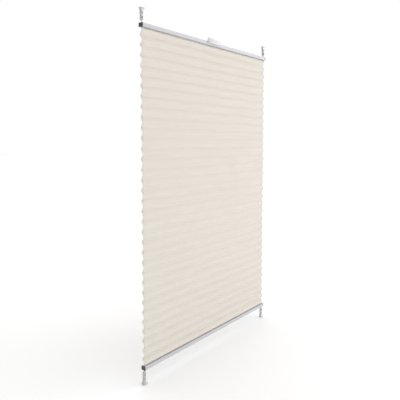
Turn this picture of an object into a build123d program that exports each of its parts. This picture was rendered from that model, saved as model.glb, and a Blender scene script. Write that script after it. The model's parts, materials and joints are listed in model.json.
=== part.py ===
from build123d import *
import math
import os

# A free-hanging pleated blind on two tensioned cords, with two rails that slide on them.
# X runs along the rails, -Y points into the room and +Z up. Y = 0 is the middle of the fabric's
# depth, X = 0 the middle of the rails, and Z = 0 the lower end of the bottom tension shoes.

# Overall sizes
overall_height = 1300.0
rail_length = 800.0
shoe_reach = 50.0  # from a rail's outer face, at rest, to the far end of its shoes

# Rail extrusion
rail_depth = 18.0
rail_height = 13.5
rail_wall = 1.2
rail_corner = 1.6
rail_slot = 9.0  # width of the groove that the fabric comes out of

# End caps
cap_flange = 3.0
cap_overhang = 0.25  # the flange stands this much proud of the rail all round
cap_edge = 0.6
cap_dimple_radius = 2.4
cap_dimple_depth = 0.8
cap_peg_radius = 1.2
cap_peg_length = 4.0
cap_peg_spread = 4.8  # from the rail's middle plane to each peg

# Retaining strips
strip_height = 3.0
strip_shoulder = 1.4  # the strip rests this far over each lip of the groove
strip_slit = 1.1
strip_floor = 0.8
fit_gap = 0.15  # clearance of a plastic insert in the aluminium rail
overrun = 1.0  # how far a joined or cutting solid runs past the face that it meets

# Fabric
fabric_margin = 1.5  # the fabric ends this far inside each end of the rail
fabric_thickness = 0.3
pleat_panel = 20.0  # flat width of one panel, from fold to fold
pleat_opening = 0.8754  # mean height of a hanging panel, as a share of its flat width
pleat_spread = 0.009  # how far the top panels open past the mean, under the fabric's own weight
pleat_gather = 0.093  # how much less the panels beside the rails open than those half-way
fabric_hem = 3.0  # stands in the retaining strip's slit
cord_hole_radius = 2.2
soft_gap = 0.3  # between the fabric and the rail's end caps

# Cords
cord_radius = 0.5
cord_inset = 6.0  # from the rail's end to the cord's centre
cord_offset = 0.75  # the cords run this far before and behind the fabric's middle plane
cord_turn = 3.0  # radius of the cord's centre line where it turns in a rail
cord_clearance = 0.3

# Cord guides
guide_length = 14.0
nozzle_radius = 2.2
nozzle_bore = 1.6
nozzle_reach = 1.8  # how far the nozzle stands out of the rail

# Tension shoes
shoe_gap = 5.0  # from the rail's outer face to the shoe's neck
shoe_width = 13.0  # under the foot
shoe_waist = 10.0  # where the flare to the foot begins
shoe_tip_width = 8.5  # at the neck
shoe_depth = 12.0  # under the foot, half of it behind the cords
shoe_thickness = 9.5  # of the body, from its flat back
shoe_flare = 9.0  # height of the concave flare
shoe_edge = 1.5
neck_radius = 3.2
neck_length = 5.0
foot_width = 19.0
foot_lip = 1.0  # the foot stands this far in front of the shoe's body
foot_thickness = 3.0
foot_corner = 2.0
screw_radius = 2.1
screw_from_end = 17.0
countersink_radius = 3.6
pocket_width = 6.0
pocket_height = 9.0
pocket_floor = 2.0  # between the pocket and the neck
pocket_back = 2.6  # wall behind the pocket

# Cord stops
stop_radius = 2.2
stop_length = 6.0
stop_grip = 4.0  # how far the cord's end goes into its stop
stop_bore_gap = 0.1
stop_chamfer = 0.5

# Handle on the top rail
handle_length = 88.0
handle_wall = 1.8
handle_stand = 4.0  # from the rail's face to the lip's outer face at its ends
handle_bow = 7.0  # how far the lip bulges past that in its middle
handle_rise = 14.0  # the lip's height above the rail near its ends
handle_dip = 6.0  # how much lower the lip is in its middle
handle_shelf = 5.0  # from the groove side of the rail up to the handle's shelf
handle_corner = 4.0
clip_wall = 1.4
clip_reach = 9.0  # how far the clip reaches back over the rail
clip_gap = 0.05

half_length = rail_length / 2
half_depth = rail_depth / 2
profile_end = half_length - cap_flange
cord_x = half_length - cord_inset
rail_top = overall_height - shoe_reach
top_groove = rail_top - rail_height
bottom_groove = shoe_reach + rail_height
inner_depth = rail_depth - 2 * rail_wall
strip_top = rail_wall + strip_height
ceiling = rail_height - rail_wall
run_height = (strip_top + ceiling) / 2  # of the cords inside a rail, above its groove
neck_end = rail_top + shoe_gap
body_end = neck_end + neck_length
pocket_low = body_end + pocket_floor
cord_end = pocket_low + stop_grip
fabric_drop = top_groove - bottom_groove
pleat_pairs = round(fabric_drop / (2 * pleat_panel * pleat_opening) - 0.5)
pleat_count = 2 * pleat_pairs + 1  # an odd number of panels, so both end folds point into the room


def box_between(low, high):
    """A box from its lowest corner to its highest."""
    size = [high[i] - low[i] for i in range(3)]
    centre = [(high[i] + low[i]) / 2 for i in range(3)]
    return Pos(*centre) * Box(*size)


def upright(radius, x, y, z_low, z_high):
    """A vertical cylinder between two heights."""
    return Pos(x, y, (z_low + z_high) / 2) * Cylinder(radius, z_high - z_low)


def handed(shape, side):
    """A piece modelled at the right-hand end, or its mirror image at the left."""
    return shape if side > 0 else mirror(shape, about=Plane.YZ)


def upside_down(shape):
    """A piece modelled at the top of the blind, turned over at its bottom."""
    return Pos(0, 0, overall_height) * mirror(shape, about=Plane.XY)


def in_top_rail(shape):
    """A rail piece, modelled with its groove facing down at Z = 0, in the top rail."""
    return Pos(0, 0, top_groove) * shape


def in_bottom_rail(shape):
    """The same rail piece turned over, in the bottom rail."""
    return Pos(0, 0, bottom_groove) * mirror(shape, about=Plane.XY)


def rail():
    """The aluminium extrusion: a channel open at its groove, with a hole for each guide's nozzle."""
    centre = Pos(0, rail_height / 2)
    outer = centre * RectangleRounded(rail_depth, rail_height, rail_corner)
    inner = centre * Rectangle(inner_depth, rail_height - 2 * rail_wall)
    groove = Pos(0, rail_wall / 2) * Rectangle(rail_slot, rail_wall)
    body = extrude(Plane.YZ * (outer - inner - groove), profile_end, both=True)
    for side in (-1, 1):
        body -= upright(nozzle_radius + fit_gap, side * cord_x, 0, run_height, rail_height + rail_wall)
    return body


def end_cap():
    """A cap whose flange covers the rail's end, with two pegs that plug into the cord guide."""
    outline = RectangleRounded(
        rail_depth + 2 * cap_overhang, rail_height + 2 * cap_overhang, rail_corner + cap_overhang
    )
    flange = extrude(Plane.YZ.offset(profile_end) * Pos(0, rail_height / 2) * outline, cap_flange)
    outer_face = flange.faces().sort_by(Axis.X)[-1]
    flange = fillet(outer_face.edges(), cap_edge)
    across = Pos(half_length, 0, rail_height / 2) * Rot(0, 90, 0)
    cap = flange - across * Cylinder(cap_dimple_radius, 2 * cap_dimple_depth)
    for y in (-cap_peg_spread, cap_peg_spread):
        peg = Pos(profile_end - cap_peg_length / 2, y, run_height) * Rot(0, 90, 0)
        cap += peg * Cylinder(cap_peg_radius, cap_peg_length)
    return cap


def guide():
    """The insert where one cord turns in from outside and the other turns down into the fabric."""
    inner_end = profile_end - guide_length
    top = ceiling - fit_gap
    half_block = inner_depth / 2 - fit_gap
    block = box_between((inner_end, -half_block, strip_top), (profile_end, half_block, top))
    nozzle = upright(nozzle_radius, cord_x, 0, top - overrun, rail_height + nozzle_reach)
    reach = cord_radius + cord_clearance
    bend = min(cord_turn - reach, top - run_height - reach - fit_gap)  # limited by the wall above it
    inside = cord_x - reach
    outline = Polyline(
        (cord_x + 2 * reach, strip_top - overrun),
        (cord_x + 2 * reach, top),
        (inside, top),
        (inside, run_height + reach),
        (inner_end - overrun, run_height + reach),
        (inner_end - overrun, run_height - reach),
        (inside, run_height - reach),
        (inside, strip_top - overrun),
        close=True,
    )
    channel = make_face(outline)
    turns = channel.vertices().filter_by_position(Axis.X, inside - fit_gap, inside + fit_gap)
    turns = turns.filter_by_position(Axis.Y, run_height - 1.5 * reach, run_height + 1.5 * reach)
    channel = Plane.XZ * fillet(turns, bend)
    piece = block + nozzle - extrude(channel, cord_offset + reach, both=True)
    nozzle_end = rail_height + nozzle_reach
    piece -= upright(nozzle_bore, cord_x, 0, top - overrun, nozzle_end + overrun)
    for y in (-cap_peg_spread, cap_peg_spread):
        hole = Pos(profile_end - cap_peg_length / 2, y, run_height) * Rot(0, 90, 0)
        piece -= hole * Cylinder(cap_peg_radius + fit_gap, cap_peg_length + 2 * fit_gap)
    return piece


def retaining_strip():
    """The plastic strip that rests on the groove's lips and holds the fabric's hem in its slit."""
    slit_depth = strip_top - strip_floor
    section = (
        Pos(0, rail_wall / 2) * Rectangle(rail_slot - 2 * fit_gap, rail_wall)
        + Pos(0, rail_wall + strip_height / 2) * Rectangle(rail_slot + 2 * strip_shoulder, strip_height)
        - Pos(0, slit_depth / 2) * Rectangle(strip_slit, slit_depth)
    )
    body = extrude(Plane.YZ * section, profile_end, both=True)
    for side in (-1, 1):
        body -= upright(cord_hole_radius, side * cord_x, 0, -rail_wall, rail_height)
    return body


def drop_after(panels):
    """How far the fabric hangs below the top groove after so many panels, which open most half-way."""
    share = panels / pleat_count
    spread = pleat_spread * share * (1 - share)
    gather = pleat_gather * share * (1 - share) * (1 - 2 * share) * 2 / 3
    return fabric_drop * (share + spread - gather)


def fabric_line():
    """The fabric's middle line in the YZ plane: a hem, a zigzag of equal panels, and a hem."""
    points = [(0, top_groove + fabric_hem), (0, top_groove)]
    for fold in range(pleat_count):
        rise = drop_after(fold + 1) - drop_after(fold)
        depth = math.sqrt(max(pleat_panel**2 - rise**2, 0)) / 2
        points.append((depth if fold % 2 else -depth, top_groove - drop_after(fold + 0.5)))
    points += [(0, bottom_groove), (0, bottom_groove - fabric_hem)]
    return points


def sideways(start, end):
    """The unit normal of a straight stretch."""
    length = math.dist(start, end)
    return (end[1] - start[1]) / length, (start[0] - end[0]) / length


def beside(points, distance):
    """A line moved sideways by a distance, with mitred corners."""
    normals = [sideways(start, end) for start, end in zip(points, points[1:])]
    moved = []
    for point, before, after in zip(points, normals[:1] + normals, normals + normals[-1:]):
        y = (before[0] + after[0]) / 2
        z = (before[1] + after[1]) / 2
        scale = distance / (y**2 + z**2)
        moved.append((point[0] + y * scale, point[1] + z * scale))
    return moved


def fabric():
    """One sheet, folded to and fro, with a cord hole near each end of every panel."""
    line = fabric_line()
    outline = beside(line, fabric_thickness / 2) + beside(line, -fabric_thickness / 2)[::-1]
    section = Plane.YZ * make_face(Polyline(*outline, close=True))
    sheet = extrude(section, half_length - fabric_margin, both=True)
    notch_low = top_groove - cap_overhang - soft_gap
    notch_inner = profile_end - soft_gap
    notch = box_between((notch_inner, -half_depth, notch_low), (half_length, half_depth, rail_top))
    for side in (-1, 1):
        sheet -= handed(notch, side)
        sheet -= upside_down(handed(notch, side))
        sheet -= upright(cord_hole_radius, side * cord_x, 0, shoe_reach, rail_top)
    return sheet


def cord(side):
    """A cord: down from a top shoe, across in the top rail, down, back across in the bottom rail,
    and down to the bottom shoe on the side where it began."""
    y = side * cord_offset
    x = side * cord_x
    path = FilletPolyline(
        (x, y, cord_end),
        (x, y, top_groove + run_height),
        (-x, y, top_groove + run_height),
        (-x, y, bottom_groove - run_height),
        (x, y, bottom_groove - run_height),
        (x, y, overall_height - cord_end),
        radius=cord_turn,
    )
    return sweep(Plane(origin=path @ 0, z_dir=path % 0) * Circle(cord_radius), path=path)


def cord_stop(side):
    """The ferrule on a cord's end, resting on the floor of the shoe's pocket."""
    y = side * cord_offset
    ferrule = upright(stop_radius, cord_x, y, pocket_low, pocket_low + stop_length)
    ferrule = chamfer(ferrule.edges().group_by(Axis.Z)[-1], stop_chamfer)
    bore = cord_radius + stop_bore_gap
    return ferrule - upright(bore, cord_x, y, pocket_low - overrun, cord_end + stop_bore_gap)


def shoe():
    """A tension shoe: foot, body that flares to it with a screw hole and a pocket, and the cord's neck."""
    foot_low = overall_height - foot_thickness
    flare_low = foot_low - shoe_flare
    half_tip = shoe_tip_width / 2
    half_waist = shoe_waist / 2
    half_width = shoe_width / 2
    back = shoe_depth / 2
    front = back - shoe_thickness
    taper = (half_waist - half_tip, flare_low - body_end)
    width = Polyline((0, foot_low), (0, body_end), (half_tip, body_end), (half_waist, flare_low))
    width += TangentArc((half_waist, flare_low), (half_width, foot_low), tangent=taper)
    width += Line((half_width, foot_low), (0, foot_low))
    right_half = extrude(Plane.XZ * make_face(width), shoe_depth, both=True)
    depth = Line((-back, foot_low), (back, foot_low))
    depth += Polyline((back, foot_low), (back, body_end), (front, body_end), (front, flare_low))
    depth += TangentArc((front, flare_low), (-back, foot_low), tangent=(0, 1))
    body = right_half + mirror(right_half, about=Plane.YZ)
    body &= extrude(Plane.YZ * make_face(depth), foot_width, both=True)
    steepness = 0.9  # of an edge's direction, for it to be a side of the body
    sides = body.edges().filter_by(lambda edge: abs(edge.tangent_at(0.5).Z) > steepness)
    body = fillet(sides, shoe_edge)
    foot_plan = Pos(0, -foot_lip / 2) * RectangleRounded(foot_width, shoe_depth + foot_lip, foot_corner)
    body += extrude(Plane.XY.offset(foot_low) * foot_plan, foot_thickness)
    body += upright(neck_radius, 0, 0, neck_end, body_end)
    bore = cord_offset + cord_radius + cord_clearance
    body -= upright(bore, 0, 0, neck_end - overrun, pocket_low + overrun)
    half_pocket = pocket_width / 2
    pocket_high = pocket_low + pocket_height
    pocket_wall = back - pocket_back
    body -= box_between((-half_pocket, -shoe_depth, pocket_low), (half_pocket, pocket_wall, pocket_high))
    screw = Pos(0, 0, overall_height - screw_from_end) * Rot(90, 0, 0)
    body -= screw * Cylinder(screw_radius, 2 * shoe_depth)
    sink_depth = countersink_radius - screw_radius
    sink = Cone(screw_radius, countersink_radius, sink_depth)
    body -= screw * Pos(0, 0, -front - sink_depth / 2) * sink
    return Pos(cord_x, 0, 0) * body


def handle():
    """The clip-on handle: a bowed, dipped lip with a shelf and end walls, hooked over the top rail."""
    half = handle_length / 2
    face = -half_depth - clip_gap
    end_face = face - handle_stand
    low = top_groove + handle_shelf
    high = rail_top + handle_rise
    outline = Line((-half, face), (-half, end_face))
    outline += ThreePointArc((-half, end_face), (0, end_face - handle_bow), (half, end_face))
    outline += Polyline((half, end_face), (half, face), (-half, face))
    tray = extrude(Plane.XY.offset(low) * make_face(outline), high - low)
    inner_half = half - handle_wall
    inner_face = end_face + handle_wall
    back = face - clip_wall
    bowed_face = inner_face - handle_bow
    hollow = Line((-inner_half, back), (-inner_half, inner_face))
    hollow += ThreePointArc((-inner_half, inner_face), (0, bowed_face), (inner_half, inner_face))
    hollow += Polyline((inner_half, inner_face), (inner_half, back), (-inner_half, back))
    tray -= extrude(Plane.XY.offset(low + handle_wall) * make_face(hollow), high - low)
    over = rail_top + clip_gap
    open_low = (-inner_half, back - clip_gap, over + clip_wall)
    tray -= box_between(open_low, (inner_half, face + overrun, high + overrun))
    shape = Polyline((-half, low), (half, low), (half, high))
    shape += ThreePointArc((half, high), (0, high - handle_dip), (-half, high))
    shape += Line((-half, high), (-half, low))
    front_view = make_face(shape)
    corners = front_view.vertices()
    front_view = fillet(corners, handle_corner)
    tray &= extrude(Plane.XZ * front_view, 3 * rail_depth, both=True)
    tray += box_between((-inner_half, face, over), (inner_half, face + clip_reach, over + clip_wall))
    return tray


def pieces():
    """Every piece by name, in its place at rest: top rail up, bottom rail down."""
    ends = {"left": -1, "right": 1}
    made = {
        "top_rail": in_top_rail(rail()),
        "bottom_rail": in_bottom_rail(rail()),
        "top_retaining_strip": in_top_rail(retaining_strip()),
        "bottom_retaining_strip": in_bottom_rail(retaining_strip()),
        "pleated_fabric": fabric(),
        "handle": handle(),
    }
    for end, side in ends.items():
        made[f"tension_cord_{end}"] = cord(side)
        cap = handed(end_cap(), side)
        made[f"top_end_cap_{end}"] = in_top_rail(cap)
        made[f"bottom_end_cap_{end}"] = in_bottom_rail(cap)
        insert = handed(guide(), side)
        made[f"top_cord_guide_{end}"] = in_top_rail(insert)
        made[f"bottom_cord_guide_{end}"] = in_bottom_rail(insert)
        top_shoe = handed(shoe(), side)
        made[f"top_shoe_{end}"] = top_shoe
        made[f"bottom_shoe_{end}"] = upside_down(top_shoe)
        stop = handed(cord_stop(side), side)
        made[f"top_cord_stop_{end}"] = stop
        made[f"bottom_cord_stop_{end}"] = upside_down(stop)
    return made


os.makedirs("parts", exist_ok=True)
for name, piece in pieces().items():
    export_step(piece, f"parts/{name}.step")
    print(name, "written")
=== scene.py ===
import json
import math

import bpy
import numpy as np
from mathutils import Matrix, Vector


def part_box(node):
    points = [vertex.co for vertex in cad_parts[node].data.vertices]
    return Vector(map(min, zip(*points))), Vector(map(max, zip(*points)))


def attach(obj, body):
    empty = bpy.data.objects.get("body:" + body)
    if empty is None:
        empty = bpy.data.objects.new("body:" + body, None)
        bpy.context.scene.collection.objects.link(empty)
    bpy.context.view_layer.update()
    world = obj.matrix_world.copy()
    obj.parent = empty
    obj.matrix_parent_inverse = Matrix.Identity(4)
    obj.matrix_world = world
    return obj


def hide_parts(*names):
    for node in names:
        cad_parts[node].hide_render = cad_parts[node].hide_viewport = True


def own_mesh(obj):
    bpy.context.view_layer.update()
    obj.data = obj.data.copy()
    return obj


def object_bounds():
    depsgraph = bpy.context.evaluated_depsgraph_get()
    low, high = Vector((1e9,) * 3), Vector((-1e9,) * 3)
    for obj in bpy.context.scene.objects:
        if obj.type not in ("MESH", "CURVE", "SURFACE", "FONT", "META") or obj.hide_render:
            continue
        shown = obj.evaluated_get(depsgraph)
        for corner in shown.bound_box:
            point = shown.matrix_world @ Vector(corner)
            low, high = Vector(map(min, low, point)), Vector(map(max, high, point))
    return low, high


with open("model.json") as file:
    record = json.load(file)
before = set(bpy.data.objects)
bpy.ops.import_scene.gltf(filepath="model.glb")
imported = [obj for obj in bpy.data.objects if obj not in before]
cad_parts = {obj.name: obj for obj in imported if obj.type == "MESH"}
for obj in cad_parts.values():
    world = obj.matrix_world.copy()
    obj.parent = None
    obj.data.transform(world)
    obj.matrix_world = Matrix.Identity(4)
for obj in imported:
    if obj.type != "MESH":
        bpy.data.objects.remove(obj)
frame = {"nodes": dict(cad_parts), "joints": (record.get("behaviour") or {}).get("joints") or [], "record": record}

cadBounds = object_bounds()
nodes = frame["nodes"]
tiny = 1e-6

# the planes that everything else is placed from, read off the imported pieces
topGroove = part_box("top_rail")[0].z
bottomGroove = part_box("bottom_rail")[1].z
cordX = (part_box("top_cord_stop_right")[0].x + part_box("top_cord_stop_right")[1].x) / 2
cordLow, cordHigh = (corner.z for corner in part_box("tension_cord_left"))
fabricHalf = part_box("pleated_fabric")[1].x
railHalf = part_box("top_rail")[1].x
travel = frame["joints"][0]["range_m"][1]


class Wire:
    # one socket of a material; sums and products of wires add Math nodes as they are written
    def __init__(self, tree, socket=None):
        self.tree = tree
        self.socket = socket

    def node(self, kind, settings=None, inputs=None, output=0):
        # any node: its settings first, then the values or wires of its sockets
        made = self.tree.nodes.new(kind)
        for key, value in (settings or {}).items():
            setattr(made, key, value)
        for key, value in (inputs or {}).items():
            if isinstance(value, Wire):
                self.tree.links.new(value.socket, made.inputs[key])
            else:
                made.inputs[key].default_value = value
        return Wire(self.tree, made.outputs[output]) if len(made.outputs) else None

    def sum(self, operation, first, second):
        return self.node("ShaderNodeMath", {"operation": operation}, {0: first, 1: second})

    def __add__(self, other):
        return self.sum("ADD", self, other)

    def __mul__(self, other):
        return self.sum("MULTIPLY", self, other)

    __radd__ = __add__
    __rmul__ = __mul__

    def mix(self, factor, first, second):
        # a colour between two colours
        return self.node("ShaderNodeMix", {"data_type": "RGBA"}, {0: factor, 6: first, 7: second}, 2)

    def stretched(self, place, scale):
        return self.node("ShaderNodeMapping", {}, {"Vector": place, "Scale": scale})

    def noise(self, place, scale, detail=3.0, roughness=0.5):
        sockets = {"Vector": place, "Scale": scale, "Detail": detail, "Roughness": roughness}
        return self.node("ShaderNodeTexNoise", {}, sockets)

    def waves(self, place, direction, scale):
        sockets = {"Vector": place, "Scale": scale}
        return self.node("ShaderNodeTexWave", {"bands_direction": direction}, sockets)

    def bump(self, height, distance, strength=1.0):
        sockets = {"Height": height, "Distance": distance, "Strength": strength}
        return self.node("ShaderNodeBump", {}, sockets)


def newMaterial(name):
    material = bpy.data.materials.new(name)
    material.use_nodes = True
    material.node_tree.nodes.clear()
    return material, Wire(material.node_tree)


def finishMaterial(wire, shader):
    wire.node("ShaderNodeOutputMaterial", {}, {"Surface": shader})


def shaded(colour):
    return (*colour, 1.0)


def grey(tone):
    return (tone, tone, tone, 1.0)


fabricLook = {
    "cream": (0.792, 0.748, 0.686),
    "creamShade": (0.760, 0.716, 0.652),
    "mottleStretch": (0.6, 1.6, 1.0),
    "mottleScale": 16.0,      # soft patches, per metre
    "mottleShare": 0.7,       # of the colour's change; small crinkles give the rest
    "crushScale": 190.0,      # small crinkles, per metre
    "crushHeight": 0.00006,
    "threadPitch": 0.0005,
    "threadHeight": 0.00003,
    "roughness": 0.78,
    "through": 0.16,          # share of the light that comes through
}


def pleatFabricMaterial():
    # woven cloth with crinkles, laid out flat along the sheet, that lets a little light through
    look = fabricLook
    material, wire = newMaterial("pleatFabric")
    place = wire.node("ShaderNodeAttribute", {"attribute_name": "flatPlace"}, {}, "Vector")
    mottle = wire.noise(wire.stretched(place, look["mottleStretch"]), look["mottleScale"], 4.0)
    fleck = wire.noise(place, look["crushScale"], 3.0, 0.6)
    share = mottle * look["mottleShare"] + fleck * (1 - look["mottleShare"])
    colour = wire.mix(share, shaded(look["creamShade"]), shaded(look["cream"]))
    turns = 2 * math.pi / look["threadPitch"] / 20  # a Wave texture repeats 20 / (2 pi) times per unit
    threads = wire.bump(
        wire.waves(place, "X", turns) * wire.waves(place, "Y", turns), look["threadHeight"]
    )
    crush = wire.node(
        "ShaderNodeBump", {}, {"Height": fleck, "Distance": look["crushHeight"], "Normal": threads}
    )
    cloth = wire.node("ShaderNodeBsdfPrincipled", {}, {
        "Base Color": colour, "Roughness": fleck * 0.12 + look["roughness"], "Normal": crush,
        "Sheen Weight": 0.15, "Specular IOR Level": 0.25,
    })
    glow = wire.node("ShaderNodeBsdfTranslucent", {}, {"Color": shaded(look["cream"]), "Normal": crush})
    both = wire.node("ShaderNodeMixShader", {}, {0: look["through"], 1: cloth, 2: glow})
    finishMaterial(wire, both)
    return material


railLook = {
    "silver": (0.545, 0.538, 0.566),
    "silverShade": (0.500, 0.493, 0.520),
    "brushing": 900.0,        # fine lines along the rail, per metre across it
    "brushingStretch": (0.012, 1.0, 1.0),
    "brushingHeight": 0.00002,
    "cloudScale": 9.0,
    "metal": 0.15,
    "roughness": 0.50,
}


def railAluminiumMaterial():
    # satin aluminium with drawing lines along the extrusion
    look = railLook
    material, wire = newMaterial("railAluminium")
    place = wire.node("ShaderNodeTexCoord", {}, {}, "Object")
    lines = wire.noise(wire.stretched(place, look["brushingStretch"]), look["brushing"], 4.0, 0.65)
    cloud = wire.noise(place, look["cloudScale"], 2.0)
    colour = wire.mix(lines * 0.6 + cloud * 0.4, shaded(look["silverShade"]), shaded(look["silver"]))
    finishMaterial(wire, wire.node("ShaderNodeBsdfPrincipled", {}, {
        "Base Color": colour, "Metallic": look["metal"], "Roughness": lines * 0.14 + look["roughness"],
        "Normal": wire.bump(lines, look["brushingHeight"], 0.6),
    }))
    return material


plasticGrain = {"scale": 1400.0, "height": 0.00003, "cloudScale": 60.0}

plasticLooks = {
    "cap_plastic": {
        "name": "capPlastic", "light": (0.070, 0.070, 0.078), "dark": (0.045, 0.045, 0.050),
        "roughness": 0.42, "coat": 0.0, "metal": 0.0,
    },
    "guide_plastic": {
        "name": "guidePlastic", "light": (0.10, 0.10, 0.10), "dark": (0.07, 0.07, 0.07),
        "roughness": 0.5, "coat": 0.0, "metal": 0.0,
    },
    # the retaining strip is real grey plastic, but its darker grey is partly painted shade: it stands in for the
    # shade in the rail's groove between the fabric and the rail's lip
    "strip_plastic": {
        "name": "stripPlasticPaintedShade", "light": (0.46, 0.45, 0.46), "dark": (0.40, 0.39, 0.40),
        "roughness": 0.55, "coat": 0.0, "metal": 0.0,
    },
    "shoe_plastic": {
        "name": "shoePlastic", "light": (0.56, 0.57, 0.55), "dark": (0.48, 0.49, 0.47),
        "roughness": 0.32, "coat": 0.15, "metal": 0.0,
    },
    "handle_plastic": {
        "name": "handlePlastic", "light": (0.65, 0.65, 0.67), "dark": (0.59, 0.59, 0.61),
        "roughness": 0.45, "coat": 0.05, "metal": 0.1,
    },
}


def mouldedPlastic(look):
    # moulded plastic: a fine spark-eroded grain over a faint flow cloud
    material, wire = newMaterial(look["name"])
    place = wire.node("ShaderNodeTexCoord", {}, {}, "Object")
    fine = wire.noise(place, plasticGrain["scale"], 2.0, 0.6)
    cloud = wire.noise(place, plasticGrain["cloudScale"], 3.0)
    colour = wire.mix(cloud * 0.8 + fine * 0.2, shaded(look["dark"]), shaded(look["light"]))
    finishMaterial(wire, wire.node("ShaderNodeBsdfPrincipled", {}, {
        "Base Color": colour, "Roughness": fine * 0.1 + look["roughness"], "Coat Weight": look["coat"],
        "Metallic": look["metal"], "Normal": wire.bump(fine, plasticGrain["height"]),
    }))
    return material


braidLook = {
    "light": (0.80, 0.79, 0.75),
    "dark": (0.60, 0.585, 0.55),
    "scale": 330.0,
    "height": 0.00006,
    "roughness": 0.7,
}


def cordBraidMaterial():
    # two sets of slanted strands that cross, laid out round and along the cord
    look = braidLook
    material, wire = newMaterial("cordBraid")
    place = wire.node("ShaderNodeAttribute", {"attribute_name": "flatPlace"}, {}, "Vector")
    mirrored = wire.stretched(place, (-1.0, 1.0, 1.0))
    right = wire.waves(place, "DIAGONAL", look["scale"])
    left = wire.waves(mirrored, "DIAGONAL", look["scale"])
    braid = right * left
    colour = wire.mix(braid, shaded(look["dark"]), shaded(look["light"]))
    finishMaterial(wire, wire.node("ShaderNodeBsdfPrincipled", {}, {
        "Base Color": colour, "Roughness": look["roughness"], "Normal": wire.bump(braid, look["height"]),
    }))
    return material


stopLook = {
    "light": (0.68, 0.68, 0.66),
    "dark": (0.50, 0.50, 0.49),
    "turning": 700.0,         # fine rings round the ferrule
    "turningStretch": (1.0, 1.0, 6.0),
    "height": 0.00002,
    "metal": 0.9,
    "roughness": 0.3,
}


def stopMetalMaterial():
    # turned metal with fine rings
    look = stopLook
    material, wire = newMaterial("stopMetal")
    place = wire.node("ShaderNodeTexCoord", {}, {}, "Object")
    turned = wire.noise(wire.stretched(place, look["turningStretch"]), look["turning"], 3.0)
    colour = wire.mix(turned, shaded(look["dark"]), shaded(look["light"]))
    finishMaterial(wire, wire.node("ShaderNodeBsdfPrincipled", {}, {
        "Base Color": colour, "Metallic": look["metal"], "Roughness": turned * 0.15 + look["roughness"],
        "Normal": wire.bump(turned, look["height"]),
    }))
    return material


materials = {
    "rail_aluminium": railAluminiumMaterial(),
    "pleat_fabric": pleatFabricMaterial(),
    "cord_braid": cordBraidMaterial(),
    "stop_metal": stopMetalMaterial(),
}
for slotName, look in plasticLooks.items():
    materials[slotName] = mouldedPlastic(look)

for row in frame["record"]["subparts"]:
    for holder in nodes[row["node"]].material_slots:
        holder.material = materials[row["material_slot"]]
print("materials:", len(materials))


def gridMesh(name, points, flatPlace, around=False, keep=None):
    # a surface on a grid: points[i, j] are its corners, and neighbours in i and j share an edge;
    # around joins the last column to the first and closes both ends, keep drops the faces that are False
    rows, columns = points.shape[:2]
    index = np.arange(rows * columns).reshape(rows, columns)
    across = np.concatenate([index, index[:, :1]], axis=1) if around else index
    quads = np.stack([across[:-1, :-1], across[:-1, 1:], across[1:, 1:], across[1:, :-1]], axis=-1)
    quads = quads[keep] if keep is not None else quads.reshape(-1, 4)
    faces = quads.tolist()
    if around:
        faces += [index[0, ::-1].tolist(), index[-1].tolist()]
    mesh = bpy.data.meshes.new(name)
    mesh.from_pydata(points.reshape(-1, 3).tolist(), [], faces)
    attribute = mesh.attributes.new("flatPlace", "FLOAT_VECTOR", "POINT")
    attribute.data.foreach_set("vector", flatPlace.reshape(-1, 3).astype(np.float32).ravel())
    mesh.polygons.foreach_set("use_smooth", np.ones(len(mesh.polygons), bool))
    mesh.update()
    piece = bpy.data.objects.new(name, mesh)
    bpy.context.scene.collection.objects.link(piece)
    return piece


def seat(piece, body, slotName):
    piece.data.materials.append(materials[slotName])
    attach(piece, body)
    return piece


# places along the fabric are counted in panels from the top groove: a whole number is the middle of a
# panel's slope, where the cord holes are, and a half is a fold
fabric = {
    "panels": 67,
    "panel": 0.020,           # flat height of one panel
    "openMore": 0.009,        # how far the top panels open past the mean, under the fabric's weight
    "gather": 0.093,          # how much less the panels beside the rails open than those half-way
    "crease": 0.9992,         # 1 is a knife crease, less is rounder
    "thickness": 0.0003,
    "hem": 0.003,
    "splitAt": 33.354,        # panels above the split, which is at mid-height on a flat stretch
    "holeAcross": 0.0022,     # half the width of a cord hole
    "holeAlong": 0.13,        # half its height, in panels
    "holeFree": 0.4,          # no cord hole lies this near to a groove, in panels
    "rowPlaces": (0.065, 0.13, 0.26, 0.38, 0.46, 0.487),  # from a slope's middle to its fold, in panels
    "columnPlaces": (0.5, 1.0, 2.0),  # beside a cord's centre, in half widths of its hole
    "columns": 66,            # between the cord holes
    "ripple": 0.00022,        # how far the cloth stands in and out along a fold
    "rippleWaves": (3.1, 7.3, 12.7),  # per metre
    "rippleTurn": 2.4,        # how far each wave is shifted from one panel to the next, in radians
    "seed": 7,
    "notch": 0.0005,          # the hem ends this far inside the rail, clear of its caps
    "packGap": 0.0006,        # room left between the closed pack and the rail
}


def dropAfter(panels):
    # distance below the top groove after so many panels: a straight share, a parabola that opens the upper
    # panels more, less a cubic that opens those beside the rails less
    share = panels / fabric["panels"]
    bow = share * (1 - share)
    opened = share + fabric["openMore"] * bow - fabric["gather"] * bow * (1 - 2 * share) * 2 / 3
    return (topGroove - bottomGroove) * opened


def foldReach(panels):
    # half the fold depth: what is left of a flat panel once its drop is taken, by Pythagoras
    rise = dropAfter(panels + 0.5) - dropAfter(panels - 0.5)
    return np.sqrt(np.maximum(fabric["panel"] ** 2 - rise ** 2, 0)) / 2


def ripple(x, panels):
    # a slow wave along each fold, the sum of a few sines with random phases
    rng = np.random.default_rng(fabric["seed"])
    total = np.zeros(np.broadcast(x, panels).shape)
    for waves in fabric["rippleWaves"]:
        phase = rng.uniform(0, 2 * math.pi, 2)[0]
        turned = waves * 2 * math.pi * x + phase + panels * fabric["rippleTurn"]
        total = total + np.sin(turned) / waves ** 0.5
    return total * fabric["ripple"]


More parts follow.
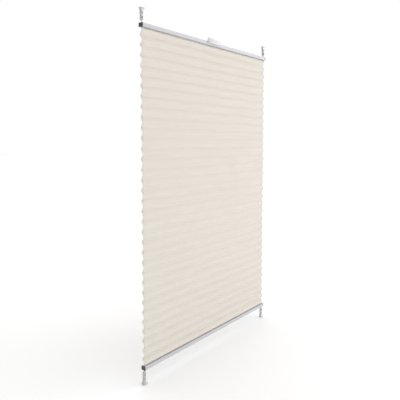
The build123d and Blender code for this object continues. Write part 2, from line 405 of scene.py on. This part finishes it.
def sheetRows(first, last):
    # the grid's rows from one place to another, closest together at the folds
    half = np.array(fabric["rowPlaces"])
    inPanel = np.concatenate([[-0.5], -half[::-1], [0.0], half])
    rows = (np.arange(fabric["panels"] + 1)[:, None] + inPanel).ravel()
    rows = rows[(rows > first) & (rows < last)]
    return np.unique(np.round(np.concatenate([[first], rows, [last]]), 6))


def sheetColumns():
    # the grid's columns from end to end, even between the cord holes and closer beside them
    beside = np.array(fabric["columnPlaces"])
    edge = cordX + np.concatenate([-beside[::-1], [0.0], beside]) * fabric["holeAcross"]
    edge[-1] = fabricHalf
    middle = np.linspace(-edge[0], edge[0], fabric["columns"])[1:-1]
    return np.concatenate([-edge[::-1], middle, edge])


def roundHoles(x, panels):
    # the square of corners round each cord hole becomes a circle: each corner moves towards the hole's
    # centre by the ratio of its larger distance, across or along, to its straight one
    u = (np.abs(x) - cordX) / fabric["holeAcross"]
    v = (panels - np.round(panels)) / fabric["holeAlong"]
    ring = np.maximum(np.abs(u), np.abs(v))
    fromRail = np.minimum(panels, fabric["panels"] - panels)
    nearHole = (ring <= 1.001) & (fromRail > fabric["holeFree"])
    pull = np.where(nearHole, ring / np.maximum(np.hypot(u, v), tiny), 1.0)
    x = np.where(nearHole, np.sign(x) * (cordX + u * pull * fabric["holeAcross"]), x)
    panels = np.where(nearHole, np.round(panels) + v * pull * fabric["holeAlong"], panels)
    return x, panels, nearHole


def foldedPlace(x, panels):
    # the zigzag: y is a triangle wave with slightly rounded tips, the arcsine of a sine, as deep as
    # foldReach, plus the ripple, which dies out at the rails; z hangs as dropAfter says
    wave = np.arcsin(fabric["crease"] * np.sin(math.pi * panels)) / math.asin(fabric["crease"])
    loose = np.clip(np.minimum(panels, fabric["panels"] - panels), 0, 1)
    y = ripple(x, panels) * loose - foldReach(panels) * wave
    return y, topGroove - dropAfter(panels)


def withHem(grid, hemRow, side):
    # a grid with one more row, put first where side is 1 and last where it is -1
    return np.concatenate([hemRow, grid] if side > 0 else [grid, hemRow])


def fabricSheet(name, first, last, side):
    # part of the fabric as a function of x and panels, with a straight hem that stands in the rail:
    # above the first row where side is 1, below the last where it is -1
    x, panels = np.meshgrid(sheetColumns(), sheetRows(first, last))
    x, panels, nearHole = roundHoles(x, panels)
    y, z = foldedPlace(x, panels)
    along = panels * fabric["panel"]
    edge = slice(0, 1) if side > 0 else slice(-1, None)
    hemLevel = (topGroove if side > 0 else bottomGroove) + side * fabric["hem"]
    x = withHem(x, x[edge], side)
    y = withHem(y, np.zeros_like(y[edge]), side)
    z = withHem(z, np.full_like(z[edge], hemLevel), side)
    along = withHem(along, along[edge] - side * fabric["hem"], side)
    nearHole = withHem(nearHole, np.zeros_like(nearHole[edge]), side)
    inside = nearHole[:-1, :-1] & nearHole[:-1, 1:] & nearHole[1:, :-1] & nearHole[1:, 1:]
    atRail = (z >= topGroove - tiny) | (z <= bottomGroove + tiny)
    x = np.where(atRail, np.clip(x, fabric["notch"] - railHalf, railHalf - fabric["notch"]), x)
    points = np.stack([x, y, z], axis=-1)
    flatPlace = np.stack([x, along, np.zeros_like(along)], axis=-1)
    sheet = gridMesh(name, points, flatPlace, keep=~inside)
    solid = sheet.modifiers.new("thickness", "SOLIDIFY")
    solid.thickness = fabric["thickness"]
    solid.offset = 0
    return sheet


splitZ = topGroove - float(dropAfter(fabric["splitAt"]))
upper = seat(fabricSheet("fabricUpper", 0.0, fabric["splitAt"], 1), "root", "pleat_fabric")
lower = seat(fabricSheet("fabricLower", fabric["splitAt"], fabric["panels"], -1), "root", "pleat_fabric")
for sheet, panels in ((upper, fabric["splitAt"]), (lower, fabric["panels"] - fabric["splitAt"])):
    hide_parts("pleated_fabric")
    length = panels * fabric["panel"] + fabric["hem"]
for sheet, joint, drop in (
    (upper, "top_rail_slide", topGroove - splitZ), (lower, "bottom_rail_slide", splitZ - bottomGroove)
):
    keep = (drop - travel - fabric["packGap"]) / drop
    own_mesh(sheet)
print("fabric: split at", round(splitZ, 4), "of", round(topGroove, 4))


cord = {
    "radius": 0.0005,
    "offset": 0.00075,        # of a run in a rail, before or behind the fabric's middle plane
    "turn": 0.003,
    "runHeight": 0.00825,     # of a run in a rail, above the rail's groove
    "runSteps": 180,
    "turnSteps": 9,
    "sides": 12,
    "step": 0.004,
}


def cordTube(name, path):
    # a round tube along a path in an XZ plane: each ring is a circle square to the path
    tangent = np.gradient(path, axis=0)
    tangent /= np.linalg.norm(tangent, axis=1, keepdims=True)
    sideways = np.array([0.0, 1.0, 0.0])
    normal = np.cross(sideways, tangent)
    angle = np.linspace(0, 2 * math.pi, cord["sides"], endpoint=False)
    circle = np.cos(angle)[None, :, None] * normal[:, None] + np.sin(angle)[None, :, None] * sideways
    points = path[:, None] + cord["radius"] * circle
    along = np.concatenate([[0], np.cumsum(np.linalg.norm(np.diff(path, axis=0), axis=1))])
    aroundTube, alongTube = np.meshgrid(angle * cord["radius"], along)
    flatPlace = np.stack([aroundTube, alongTube, np.zeros_like(alongTube)], axis=-1)
    return gridMesh(name, points, flatPlace, around=True)


def crossingPath(side, level, up):
    # in a rail: from the nozzle round a quarter turn, across, and round another towards the fabric
    turn = cord["turn"]
    angle = np.linspace(0, math.pi / 2, cord["turnSteps"])
    run = np.linspace(-cordX + turn, cordX - turn, cord["runSteps"])[1:-1]
    x = np.concatenate([
        -cordX + turn * (1 - np.cos(angle)),
        run,
        cordX - turn + turn * np.sin(angle),
    ])
    z = np.concatenate([
        level + up * turn * (1 - np.sin(angle)),
        np.full(len(run), level),
        level - up * turn * (1 - np.cos(angle)),
    ])
    return np.stack([-side * x, np.full(len(x), side * cord["offset"]), z], axis=-1)


def straightPath(x):
    # a plumb line from the lower end of the cords to the upper, in even steps
    count = int((cordHigh - cordLow) / cord["step"])
    z = np.linspace(cordLow, cordHigh, count)
    return np.stack([np.full(count, x), np.zeros(count), z], axis=-1)


for side, end in ((-1, "left"), (1, "right")):
    strand = seat(cordTube(f"cordStrand_{end}", straightPath(side * cordX)), "root", "cord_braid")
    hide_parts(f"tension_cord_{end}")
    for rail, level, up in (
        ("top", topGroove + cord["runHeight"], 1), ("bottom", bottomGroove - cord["runHeight"], -1)
    ):
        run = cordTube(f"{rail}CordRun_{end}", crossingPath(side, level, up))
        seat(run, f"{rail}_rail_set", "cord_braid")
print("cords: 2 strands, 4 runs")


studio = {
    "floorSize": 60.0,
    "floorGap": 0.003,
    "floorTone": 0.95,
    "floorCloud": 0.02,       # how much darker the floor's faint clouds are
    "floorRoughness": 0.9,
    "leftTone": 0.42,         # the room's walls, dim on the left and bright on the right
    "rightTone": 1.18,
    "background": 1.0,
    "sunStrength": 0.83,      # one wide soft lamp straight above
    "sunWidth": 70.0,         # in degrees
    "sunPlace": (0, 0, 4),
    "keyPower": 305.0,
    "keyPlace": (5.6, -4.2, 0.4),
    "keySize": 3.0,
}


def addFloor():
    # a flat square grid, level with the lowest point of the blind less a small gap
    half = studio["floorSize"] / 2
    edge = np.linspace(-half, half, 3)
    x, y = np.meshgrid(edge, edge)
    points = np.stack([x, y, np.full_like(x, cadBounds[0].z - studio["floorGap"])], axis=-1)
    floor = gridMesh("floor", points, points)
    material, wire = newMaterial("paleFloor")
    where = wire.node("ShaderNodeTexCoord", {}, {}, "Object")
    light = studio["floorTone"]
    tone = wire.mix(wire.noise(where, 2.0), grey(light - studio["floorCloud"]), grey(light))
    sockets = {"Base Color": tone, "Roughness": studio["floorRoughness"]}
    finishMaterial(wire, wire.node("ShaderNodeBsdfPrincipled", {}, sockets))
    floor.data.materials.append(material)


def addLamp(kind, name, where, energy, settings):
    # a lamp that points at the blind's middle
    data = bpy.data.lights.new(name, kind)
    data.energy = energy
    for key, value in settings.items():
        setattr(data, key, value)
    lamp = bpy.data.objects.new(name, data)
    bpy.context.scene.collection.objects.link(lamp)
    lamp.location = where
    target = Vector((0, 0, (cadBounds[0].z + cadBounds[1].z) / 2))
    lamp.rotation_euler = (target - Vector(where)).to_track_quat("-Z", "Y").to_euler()


def addWorld():
    # light from all round that grows evenly from left to right; behind the blind it only looks pale
    world = bpy.data.worlds.new("studio")
    world.use_nodes = True
    world.node_tree.nodes.clear()
    wire = Wire(world.node_tree)
    towards = wire.node("ShaderNodeTexCoord", {}, {}, "Generated")
    across = wire.node("ShaderNodeSeparateXYZ", {}, {"Vector": towards}, "X")
    tone = wire.mix(across * 0.5 + 0.5, grey(studio["leftTone"]), grey(studio["rightTone"]))
    lit = wire.node("ShaderNodeBackground", {}, {"Color": tone})
    seen = wire.node("ShaderNodeBackground", {}, {"Color": grey(studio["background"])})
    fromCamera = wire.node("ShaderNodeLightPath", {}, {}, "Is Camera Ray")
    both = wire.node("ShaderNodeMixShader", {}, {0: fromCamera, 1: lit, 2: seen})
    wire.node("ShaderNodeOutputWorld", {}, {"Surface": both})
    bpy.context.scene.world = world


viewpoint = {
    "place": (-1.4635, -1.1117, 0.8469),
    "turn": 38.815,           # degrees from the rails' own direction
    "dip": 3.578,             # degrees below level
    "lens": 40.26,
    "shift": -0.0725,
}


def addCamera():
    turn = math.radians(viewpoint["turn"])
    dip = math.radians(viewpoint["dip"])
    ahead = Vector((math.cos(turn) * math.cos(dip), math.sin(turn) * math.cos(dip), -math.sin(dip)))
    data = bpy.data.cameras.new("camera")
    data.lens = viewpoint["lens"]
    data.shift_y = viewpoint["shift"]
    camera = bpy.data.objects.new("camera", data)
    bpy.context.scene.collection.objects.link(camera)
    camera.location = viewpoint["place"]
    camera.rotation_euler = ahead.to_track_quat("-Z", "Y").to_euler()
    bpy.context.scene.camera = camera


sunAngle = math.radians(studio["sunWidth"])
addFloor()
addLamp("AREA", "keyLight", studio["keyPlace"], studio["keyPower"], {"size": studio["keySize"]})
addLamp("SUN", "topLight", studio["sunPlace"], studio["sunStrength"], {"angle": sunAngle})
addWorld()
addCamera()
bpy.context.scene.view_settings.view_transform = "Standard"
print("studio: floor, two lamps, camera")

bpy.context.view_layer.update()
